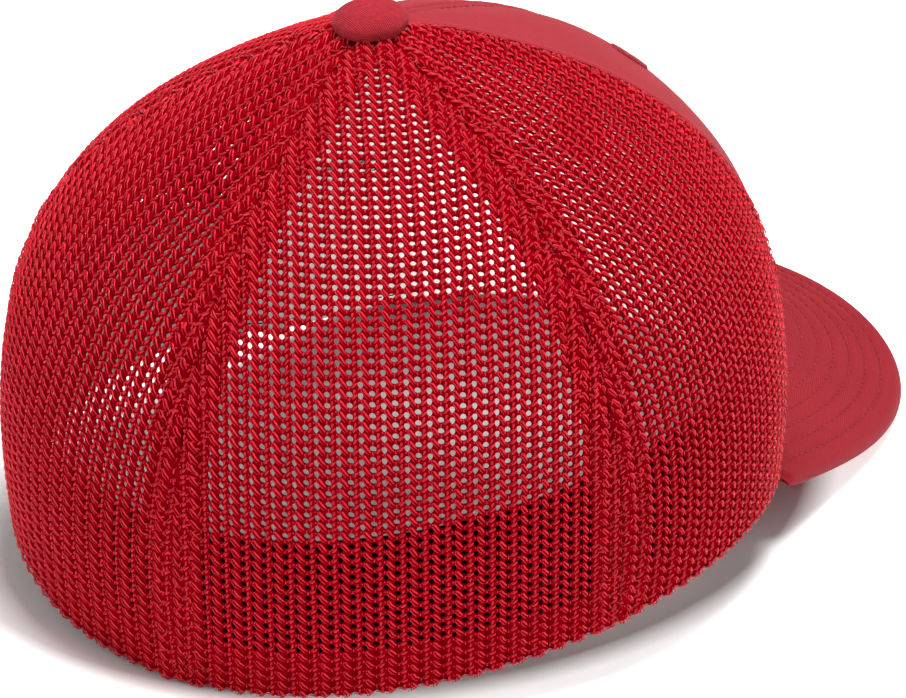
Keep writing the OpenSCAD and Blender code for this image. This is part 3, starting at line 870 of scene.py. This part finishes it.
def band_place(angle, v):
    """Points and outward directions of the sweatband's outer surface; v runs from its foot to its top."""
    near_visor = np.clip((VISOR_CORNER - math.radians(2) - np.abs(angle)) / math.radians(8), 0, 1)
    foot = (BAND_FOOT - BAND_DROP * near_visor) * MM
    height = foot + (BAND_TOP - foot) * v
    base, normal = on_crown(angle, np.maximum(share_at(angle, height), 0))
    base = base + np.stack([0 * height, 0 * height, np.minimum(height, 0)], -1)
    return base - normal * BAND_DEPTH, normal, height / MM


def sweatband():
    rows, columns = 30, 400
    angle = np.broadcast_to(np.linspace(-math.pi, math.pi, columns, endpoint=False), (rows, columns))
    v = np.linspace(0, 1, rows)[:, None]
    outside, normal, height = band_place(angle, v)
    edge = np.minimum(v, 1 - v) * (rows - 1)
    roll = np.clip(1 - edge / 1.5, 0, 1) * 0.5
    drawn_in = BAND_SINK * bell(np.minimum(v, 1 - v) * BAND_TOP / MM, BAND_STITCH, 0.9)
    outer = outside - normal * (roll * MM)[..., None]
    inner = outside - normal * ((BAND_THICK - roll - drawn_in) * MM)[..., None]
    points, faces = closed_sheet(outer, inner, closed=True)
    across = np.tile((angle * BAND_ROUND).ravel(), 2)
    piece = mesh_object("sweatband_cloth", points, faces, BAND, across=across,
                        face=np.repeat([0.0, 1.0], angle.size))
    cloth(piece, "sweatband", "sweatband", BAND_TOP, BAND_LENGTH)
    turn = np.linspace(-math.pi, math.pi, 700)
    rows = []
    for v in (BAND_STITCH * MM / BAND_TOP, 1 - BAND_STITCH * MM / BAND_TOP):
        points, normal, _ = band_place(turn, v)
        rows.append((points - normal * (BAND_THICK - BAND_SINK) * MM, -normal))
    stitching("sweatband_stitching", rows, THREAD_BLACK, "sweatband")


# ---------------- visor
VISOR_TONGUE = 0.0031        # how far the visor runs under the crown
VISOR_THICK = 0.0031
COVER_THICK = 0.0006
STITCH_ROWS = 8
STITCH_FIRST = 0.0048        # the first row's distance from the visor's edge
STITCH_PITCH = 0.0037        # from each row to the next
STITCH_SINK = 0.24           # how deep in mm the rows draw the covers in
EDGE_ROUND = VISOR_THICK / 2
VISOR_FLAT, VISOR_AREA = (0.171, 0.128), 0.0131
BOARD_INSET, BOARD_THICK, BOARD_REACH, BOARD_SPAN = 0.0016, 0.0018, 0.94, 0.998


def visor_edge(turn, inset):
    x = (VISOR_HALF_WIDTH - inset) * np.sign(turn) * np.abs(np.sin(turn)) ** (2 / VISOR_SIDE_POWER)
    y = CORNER_Y - (VISOR_TIP - inset + CORNER_Y) * np.clip(np.cos(turn), 0, 1) ** (2 / VISOR_FRONT_POWER)
    return x, y


def visor_inset(x, y):
    """How far inside the visor's outline a place is, found by halving."""
    low, high = np.zeros_like(x), np.full_like(x, 0.06)
    ahead = np.minimum(y - CORNER_Y, 0)
    for _ in range(24):
        inset = (low + high) / 2
        outside = (np.abs(x / (VISOR_HALF_WIDTH - inset)) ** VISOR_SIDE_POWER
                   + np.abs(ahead / (VISOR_TIP - inset + CORNER_Y)) ** VISOR_FRONT_POWER) > 1
        high, low = np.where(outside, inset, high), np.where(outside, low, inset)
    return low


def visor_normal(x):
    return unit(np.stack([2 * VISOR_ARCH * x / VISOR_HALF_WIDTH ** 2, 0 * x - VISOR_SLOPE, 0 * x + 1], -1))


def visor_grid(rows, columns, inset, reach=1.0, span=1.0):
    """Places over the visor, from its outer edge to its root under the crown, or to a share of the way there.
    span is the share of its width."""
    side = np.sin(np.linspace(-math.pi / 2, math.pi / 2, columns)) * span
    edge_x, edge_y = visor_edge(side * math.pi / 2, inset)
    root_x = (HALF_WIDTH - VISOR_TONGUE) * np.sin(VISOR_CORNER * side)
    root_y = -(FRONT_REACH - VISOR_TONGUE) * np.cos(VISOR_CORNER * side)
    v = np.linspace(0, reach, rows)[:, None]
    return edge_x + (root_x - edge_x) * v, edge_y + (root_y - edge_y) * v


def quilting(x, y):
    """How far the stitch rows draw the cover in, with small puckers along them."""
    inset = visor_inset(x, y)
    row = (inset - STITCH_FIRST) / STITCH_PITCH
    nearest = (row - np.clip(np.round(row), 0, STITCH_ROWS - 1)) * STITCH_PITCH / MM
    turn = np.arctan2(x, CORNER_Y - y)
    pucker = 0.05 * bell(nearest, 0, 1.3) * np.sin(turn * 95 + 3 * np.sin(turn * 13))
    return (STITCH_SINK * bell(nearest, 0, 0.55) + pucker) * MM


def visor_cover(name, side):
    """The top (side 1) or under (side -1) cover, which turns round the visor's edge to its middle."""
    columns = 200
    turn = np.sin(np.linspace(-math.pi / 2, math.pi / 2, columns)) * math.pi / 2
    bend = np.linspace(0.02, math.pi / 2, 7)[:-1]
    x, y = visor_grid(110, columns, EDGE_ROUND)
    depth = visor_height(x, y) - EDGE_ROUND
    drawn_in = quilting(x, y)
    closed = 1 - 0.72 * np.maximum(smooth(0.955, 1.0, np.linspace(0, 1, len(x)))[:, None],
                                   smooth(0.997, 1.0, np.abs(turn) / (math.pi / 2)))
    layers = []
    for radius, keep in ((EDGE_ROUND, 1), (EDGE_ROUND - COVER_THICK, 0)):
        rim_x, rim_y = zip(*(visor_edge(turn, EDGE_ROUND - radius * math.cos(b)) for b in bend))
        rim_x, rim_y = np.array(rim_x), np.array(rim_y)
        rim_z = visor_height(rim_x, rim_y) - EDGE_ROUND + side * radius * closed[0] * np.sin(bend)[:, None]
        sheet = np.stack([x, y, depth + side * (radius * closed - keep * drawn_in)], -1)
        layers.append(np.concatenate([np.stack([rim_x, rim_y, rim_z], -1), sheet]))
    outer, inner = (layer[:, ::-side] for layer in layers)
    points, faces = closed_sheet(outer, inner)
    piece = mesh_object(f"{name}_twill", points, faces, TWILL_VISOR, across=points[:, 0] / MM,
                        up=points[:, 1] / MM)
    cloth(piece, "visor_twill", name, *VISOR_FLAT, area=VISOR_AREA)


def visor_board():
    x, y = visor_grid(60, 140, BOARD_INSET, BOARD_REACH, BOARD_SPAN)
    top = visor_height(x, y) - COVER_THICK - 0.05 * MM
    outer, inner = (np.stack([x, y, top - drop], -1)[:, ::-1] for drop in (0, BOARD_THICK))
    points, faces = closed_sheet(outer, inner)
    piece = mesh_object("visor_board_sheet", points, faces, BOARD)
    stands_for("visor_board")


def visor_stitching():
    turn = np.linspace(-math.pi / 2, math.pi / 2, 500)
    for name, side in (("visor_top_stitching", 1), ("visor_under_stitching", -1)):
        rows = []
        for row in range(STITCH_ROWS):
            x, y = visor_edge(turn, STITCH_FIRST + row * STITCH_PITCH)
            seen = np.hypot(x / HALF_WIDTH, y / FRONT_REACH) > 1.004
            for part in np.split(np.arange(len(x)), np.flatnonzero(np.diff(seen)) + 1):
                if seen[part[0]] and len(part) > 20:
                    x_part, y_part = x[part], y[part]
                    depth = (0 if side > 0 else VISOR_THICK)
                    surface = visor_height(x_part, y_part) - depth - side * STITCH_SINK * MM
                    rows.append((np.stack([x_part, y_part, surface], -1), side * visor_normal(x_part)))
        stitching(name, rows, THREAD, "visor_twill")


# ---------------- button and eyelets
def lathe(profile, place, columns, ripple=None):
    """Points and faces of a closed profile of (radius, height) in mm, turned about an axis. place takes
    points from mm about the axis to metres in the frame; ripple gives what each turn adds to the radius."""
    turn = turns(columns)
    radius, height = (np.asarray(values)[:, None] for values in zip(*profile))
    radius = radius + (ripple(turn) if ripple else 0)
    grid = place(np.stack([radius * np.cos(turn), radius * np.sin(turn), height + 0 * turn], -1))
    rows = len(profile)
    faces = grid_quads(rows, columns, closed=True)
    last = np.arange(columns) + (rows - 1) * columns
    first = np.arange(columns)
    close = np.stack([last, np.roll(last, -1), np.roll(first, -1), first], -1)
    return grid.reshape(-1, 3), np.concatenate([faces, close])


PEAK = np.array([0, PEAK_BACK, CROWN_HEIGHT])
BUTTON_LEAN = math.radians(6.5)
BUTTON_RADIUS, BUTTON_DOME, BUTTON_WIDEST, BUTTON_SKIRT = 8.4, 2.7, -1.0, -2.5
BUTTON_CLOTH = 0.6
BUTTON_BIAS = math.radians(37)   # how the cover's ribs lie
BUTTON_FLAT, BUTTON_AREA = (0.024, 0.024), 0.00040


def at_peak(points):
    """From mm about the button's axis to metres in the frame."""
    lean = np.array([[1, 0, 0], [0, math.cos(BUTTON_LEAN), math.sin(BUTTON_LEAN)],
                     [0, -math.sin(BUTTON_LEAN), math.cos(BUTTON_LEAN)]])
    return PEAK + points @ lean.T * MM


def dome(inset, steps):
    """A dome's outline from its lower edge to its top."""
    t = np.linspace(0, math.pi / 2 * 0.995, steps)
    radius = (BUTTON_RADIUS - inset) * np.cos(t) ** 0.8
    height = BUTTON_WIDEST + (BUTTON_DOME - BUTTON_WIDEST - inset) * np.sin(t)
    return [(BUTTON_RADIUS - inset - 0.3, BUTTON_SKIRT), *zip(radius, height)]


def button_cover():
    steps, columns = 40, 240
    outline = dome(0, steps)
    profile = outline + dome(BUTTON_CLOTH, steps)[::-1]
    low = np.clip(1 - (np.array([height for _, height in profile]) - BUTTON_SKIRT) / 2.6, 0, 1)[:, None] ** 2

    def gathers(turn):
        return 0.10 * low * (np.sin(turn * 34 + 2 * np.sin(turn * 5)) + 0.5 * np.sin(turn * 57))

    points, faces = lathe(profile, at_peak, columns, gathers)
    reach = np.array(outline)
    along = distances(reach[::-1])[::-1]
    along = np.concatenate([along, along[::-1]])[:, None]
    turn = turns(columns) - BUTTON_BIAS
    piece = mesh_object("button_cover_twill", points, faces, TWILL_BUTTON, "button",
                        across=(along * np.cos(turn)).ravel(), up=(along * np.sin(turn)).ravel())
    cloth(piece, "visor_twill", "button_cover", *BUTTON_FLAT, area=BUTTON_AREA)


EYELET_ANGLE, EYELET_SHARE = math.radians(26), 0.74
EYELET_RADIUS, EYELET_HOLE = 5.2, 2.0
EYELET_TOP, EYELET_INSIDE = 0.15, -2.6
EYELET_LOOPS = 44
EYELET_PATH = ((5.1, -0.15), (4.7, 0.28), (3.7, 0.40), (2.5, 0.28), (2.1, -0.1), (2.05, -1.2), (2.1, -2.6),
               (2.5, -3.2), (3.7, -3.35), (4.7, -3.15), (5.1, -2.65))      # a loop's radius and height
EYELET_MIDDLE = (3.6, -1.2)      # radius and height of the middle of the ring that a loop goes round


def eyelet(side, name):
    """A worked eyelet: a padded ring, covered by loops of thread that pass through the hole."""
    origin, normal = on_crown(np.array(side * EYELET_ANGLE), np.array(EYELET_SHARE))
    level = unit(np.cross(DOWN, normal))
    axes = np.stack([level, np.cross(normal, level), normal])

    def place(points):
        return origin + points @ axes * MM

    outer, inner = EYELET_RADIUS - 0.45, EYELET_HOLE + 0.2
    bore = inner + 0.6
    ring = [(inner, EYELET_TOP - 0.2), (inner + 0.3, EYELET_TOP), (outer - 0.5, EYELET_TOP),
            (outer, EYELET_TOP - 0.2), (bore, EYELET_TOP - 0.3), (bore, EYELET_INSIDE + 0.05),
            (outer, EYELET_INSIDE), (outer - 0.5, EYELET_INSIDE - 0.45), (inner + 0.3, EYELET_INSIDE - 0.45),
            (inner, EYELET_INSIDE)]
    base = lathe(ring[::-1], place, 48)
    radius, height = np.array(EYELET_PATH).T
    turn = turns(EYELET_LOOPS)[:, None]
    turn = turn + rng.normal(0, 0.012, turn.shape) + np.linspace(0, 0.10, len(radius))
    loops = np.stack([radius * np.cos(turn), radius * np.sin(turn), height + 0 * turn], -1)
    ring_radius, ring_height = EYELET_MIDDLE
    middle = np.stack([ring_radius * np.cos(turn), ring_radius * np.sin(turn), 0 * turn + ring_height], -1)
    size = np.interp(radius, [2, 5.2], [0.17, 0.36]) * MM
    threads = tubes(place(loops), unit(place(loops) - place(middle)), size, size * 0.8, 6)
    points, faces = joined([base, threads])
    count = len(points)
    piece = mesh_object(f"{name}_thread", points, faces, THREAD, along=np.arange(count) * 0.05,
                        round=(np.arange(count) % 6) / 6, tone=np.full(count, 0.55))
    stands_for(name)


# ---------------- labels
def hanging_label(name):
    """A blank woven label with folded ends, sewn at its top edge. Its CAD solid gives its place and size."""
    corners = np.array([vertex.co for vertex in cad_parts[name].data.vertices])
    low, high = corners.min(0), corners.max(0)
    outward = unit(np.append(((low + high) / 2)[:2], 0.0))
    level = np.cross([0, 0, 1.0], outward)
    reach, width, length = np.ptp(corners @ outward), np.ptp(corners @ level), high[2] - low[2]
    face = (corners @ outward).max() * outward + [0, 0, high[2]]
    rows, columns = 40, 36
    u = np.linspace(-1, 1, columns)
    v = np.linspace(0, 1, rows)[:, None]
    thick = reach * (0.55 + 0.4 * smooth(0.80, 0.84, v) + 0.4 * smooth(0.16, 0.12, v))
    curl = 0.7 * MM * v ** 2 + 0.35 * MM * v * np.cos(u * 2.2)
    across = (u * width / 2 + 0 * v)[..., None] * level
    drop = (v * length + 0 * u)[..., None] * DOWN
    back = face + across + drop - curl[..., None] * outward
    front = back - (thick + 0 * u)[..., None] * outward
    points, faces = closed_sheet(front[:, ::-1], back[:, ::-1])
    grid_across = np.tile((u * width / 2 / MM + 0 * v)[:, ::-1].ravel(), 2)
    grid_up = np.tile((v * length / MM + 0 * u)[:, ::-1].ravel(), 2)
    piece = mesh_object(f"{name}_weave", points, faces, LABEL, name, across=grid_across, up=grid_up)
    sewn = front[2]
    row = (sewn, np.broadcast_to(-outward, sewn.shape))
    seam = stitching(f"{name}_stitching", [row], THREAD_WHITE, "label", name, length=1.8, gap=0.6)
    cloth(piece, "label", name, float(width), float(length), "hung", rests_on=["sweatband_cloth"],
          with_pieces=[seam])


# ---------------- assembly
front_panels()
seam_tapes()
sweatband()
visor_cover("visor_top_cover", 1)
visor_cover("visor_under_cover", -1)
visor_board()
visor_stitching()
button_cover()
eyelet(1, "eyelet_left")
eyelet(-1, "eyelet_right")
hanging_label("size_label")
hanging_label("care_label")
for node in ("button_shell", "button_rivet", "button_washer"):
    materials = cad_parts[node].data.materials
    materials.clear()
    materials.append(STEEL)


# ---------------- stage
def stage_piece(name, points, faces, material):
    mesh = bpy.data.meshes.new(name)
    mesh.from_pydata(points, [], faces)
    mesh.materials.append(material)
    made = linked(name, mesh)
    return made


def floor():
    size, clearance = 40.0, 0.0005
    corners = [(-size, -size, 0), (size, -size, 0), (size, size, 0), (-size, size, 0)]
    made = stage_piece("floor", corners, [(0, 1, 2, 3)], floor_material())
    made.location.z = cad_low.z - clearance


def backdrop():
    """A white wall far behind everything, which only the camera sees, so that no horizon shows."""
    distance, height, steps = 9.0, 9.0, 48
    turn = turns(steps)
    ring = np.stack([distance * np.cos(turn), distance * np.sin(turn), 0 * turn], -1)
    points = np.concatenate([ring, ring + [0, 0, height]])
    faces = grid_quads(2, steps, closed=True)
    made = stage_piece("backdrop", points.tolist(), faces.tolist(), backdrop_material())
    made.visible_diffuse = made.visible_glossy = made.visible_transmission = made.visible_shadow = False


def area_light(name, place, aim, size, power):
    data = bpy.data.lights.new(name, "AREA")
    data.size, data.energy = size, power
    made = linked(name, data)
    made.location = place
    made.rotation_euler = (aim - place).to_track_quat("-Z", "Y").to_euler()
    return made


CAMERA_AZIMUTH, CAMERA_ELEVATION, CAMERA_ROLL = (math.radians(d) for d in (212.26, 23.44, -0.69))
CAMERA_DISTANCE, CAMERA_LENS = 1.0647, 185.8
CAMERA_TARGET = Vector((0, 0, 0.060))
AIM_RIGHT, AIM_DOWN = 0.01366, 0.0133
KEY_UP, KEY_RIGHT, KEY_BACK, KEY_SIZE, KEY_POWER = 0.95, 0.15, 0.35, 0.45, 14.5
FILL_BACK, FILL_LEFT, FILL_UP, FILL_SIZE, FILL_POWER = 1.0, 0.9, 0.3, 0.9, 2.2
INSIDE_PLACE, INSIDE_AIM = Vector((-0.01, 0.03, 0.018)), Vector((0.02, -0.09, 0.040))
INSIDE_SIZE, INSIDE_POWER, INSIDE_SPREAD = 0.04, 0.026, math.radians(62)
WORLD_LIGHT = 0.34


def camera():
    back = Vector((math.sin(CAMERA_AZIMUTH) * math.cos(CAMERA_ELEVATION),
                   -math.cos(CAMERA_AZIMUTH) * math.cos(CAMERA_ELEVATION), math.sin(CAMERA_ELEVATION)))
    level = Vector((math.cos(CAMERA_AZIMUTH), math.sin(CAMERA_AZIMUTH), 0))
    rise = back.cross(level)
    right = level * math.cos(CAMERA_ROLL) + rise * math.sin(CAMERA_ROLL)
    up = rise * math.cos(CAMERA_ROLL) - level * math.sin(CAMERA_ROLL)
    place = CAMERA_TARGET + back * CAMERA_DISTANCE
    aim = CAMERA_TARGET + right * AIM_RIGHT - up * AIM_DOWN
    z = (place - aim).normalized()
    x = up.cross(z).normalized()
    y = z.cross(x)
    data = bpy.data.cameras.new("camera")
    data.lens = CAMERA_LENS
    made = linked("camera", data)
    made.matrix_world = Matrix.Translation(place) @ Matrix((x, y, z)).transposed().to_4x4()
    bpy.context.scene.camera = made
    return back, right, up


def lights(back, right, up):
    """A key lamp above, a fill at the left, and a small lamp inside the crown. The last lights the
    inside that shows through the mesh, and isn't seen itself."""
    middle = CAMERA_TARGET
    key = middle + up * KEY_UP + right * KEY_RIGHT + back * KEY_BACK
    area_light("key", key, middle, KEY_SIZE, KEY_POWER)
    fill = middle + back * FILL_BACK - right * FILL_LEFT + up * FILL_UP
    area_light("fill", fill, middle, FILL_SIZE, FILL_POWER)
    inside = area_light("inside", middle + INSIDE_PLACE, INSIDE_AIM, INSIDE_SIZE, INSIDE_POWER)
    inside.data.spread = INSIDE_SPREAD
    inside.visible_camera = False
    world = bpy.data.worlds.new("studio")
    bpy.context.scene.world = world
    world.use_nodes = True
    background = world.node_tree.nodes["Background"]
    background.inputs["Color"].default_value = (1, 1, 1, 1)
    background.inputs["Strength"].default_value = WORLD_LIGHT


floor()
backdrop()
lights(*camera())
bpy.context.scene.view_settings.view_transform = "Standard"
